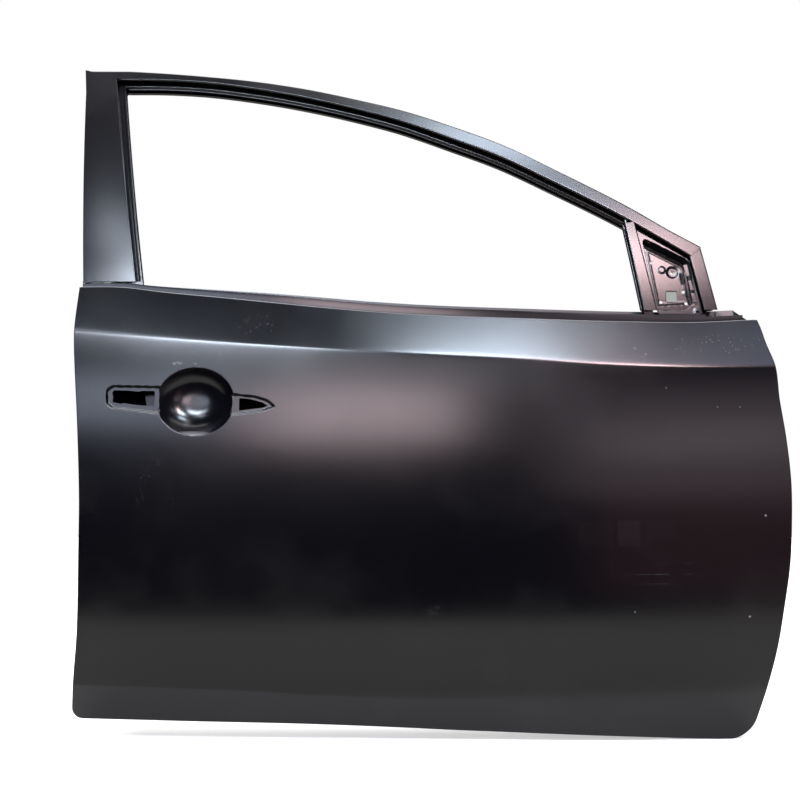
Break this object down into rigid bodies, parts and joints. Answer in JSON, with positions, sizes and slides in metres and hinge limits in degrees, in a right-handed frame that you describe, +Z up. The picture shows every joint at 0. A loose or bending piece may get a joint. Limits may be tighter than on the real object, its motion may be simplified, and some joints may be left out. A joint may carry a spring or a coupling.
{
  "type": "car door shell",
  "caption": "Bare right front car door shell: hemmed outer skin with handle bowl over a deep-drawn inner panel, with a raised window frame and mirror corner.",
  "frame": {"origin": "centre of the lower hinge's bolting face, on the outer side of the upright front wall", "axes": "+X towards the vehicle's front, +Y inboard, towards the cabin, +Z up"},
  "size_m": [1.1525, 0.2679, 1.1021],
  "materials": {
    "skin_coat": "satin-gloss dark primer, smooth",
    "inner_coat": "satin dark primer, slightly uneven",
    "frame_coat": "satin dark primer, warm sheen",
    "nut_finish": "bright plated"
  },
  "bodies": {
    "root": {"check_link_reinforcement": "inner_coat", "division_sash": "frame_coat", "front_frame_gusset": "frame_coat", "front_guide_bracket": "inner_coat", "front_lower_sash": "inner_coat", "front_mitre_patch": "frame_coat", "front_sash": "frame_coat", "handle_reinforcement": "inner_coat", "inner_belt_reinforcement": "inner_coat", "inner_panel": "inner_coat", "latch_reinforcement": "inner_coat", "lower_hinge_reinforcement": "inner_coat", "lower_hinge_tapped_plate": "inner_coat", "mirror_nut": "nut_finish", "mirror_panel": "frame_coat", "outer_belt_reinforcement": "inner_coat", "outer_panel": "skin_coat", "pull_handle_bracket": "inner_coat", "rear_frame_gusset": "frame_coat", "rear_guide_bracket": "inner_coat", "rear_lower_sash": "inner_coat", "rear_mitre_patch": "frame_coat", "rear_post_plate": "frame_coat", "rear_sash": "frame_coat", "regulator_nut_1": "nut_finish", "regulator_nut_2": "nut_finish", "regulator_nut_3": "nut_finish", "regulator_nut_4": "nut_finish", "side_beam": "inner_coat", "side_beam_front_bracket": "inner_coat", "side_beam_rear_bracket": "inner_coat", "skin_stiffener": "inner_coat", "upper_hinge_reinforcement": "inner_coat", "upper_hinge_tapped_plate": "inner_coat", "upper_sash": "frame_coat"}
  },
  "joints": []
}
